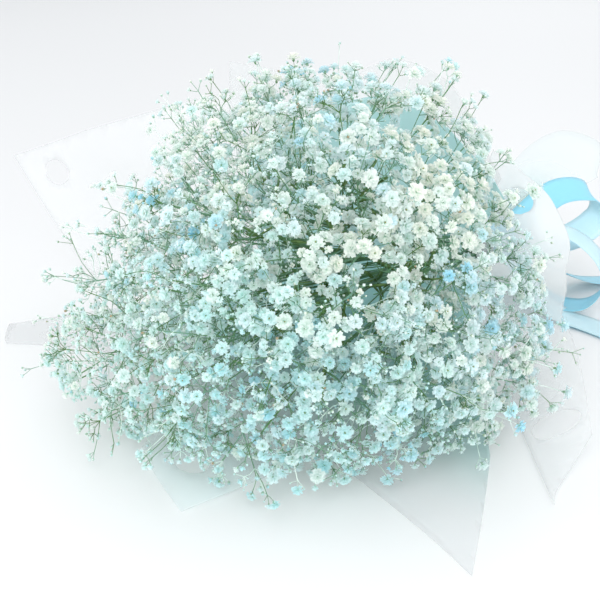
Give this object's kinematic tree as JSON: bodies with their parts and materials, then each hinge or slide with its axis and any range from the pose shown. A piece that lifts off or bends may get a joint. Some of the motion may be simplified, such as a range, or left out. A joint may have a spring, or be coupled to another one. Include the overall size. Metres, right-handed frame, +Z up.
{
  "type": "gypsophila bouquet",
  "caption": "Hand-tied bouquet of pale blue double gypsophila lying on its side, gathered in translucent film and a pale lining, and tied with a satin ribbon bow.",
  "frame": {"origin": "centre of the whole bouquet's footprint, on the table it lies on", "axes": "+Z up from the table, +Y along the bouquet towards its cut stem ends and -Y towards the flowers, +X to the side of the ribbon bow"},
  "size_m": [0.5028, 0.5206, 0.2156],
  "materials": {
    "flower": "matte",
    "film": "satin",
    "lining": "matte",
    "ribbon": "satin",
    "twine": "matte"
  },
  "bodies": {
    "root": {"film_under": "film", "film_right": "film", "film_left": "film", "film_back": "film", "lining": "lining", "ribbon": "ribbon", "binding": "twine", "stem_01": "flower", "stem_02": "flower", "stem_03": "flower", "stem_04": "flower", "stem_05": "flower", "stem_06": "flower", "stem_07": "flower", "stem_08": "flower", "stem_09": "flower", "stem_10": "flower", "stem_11": "flower", "stem_12": "flower", "stem_13": "flower", "stem_14": "flower"}
  },
  "joints": []
}
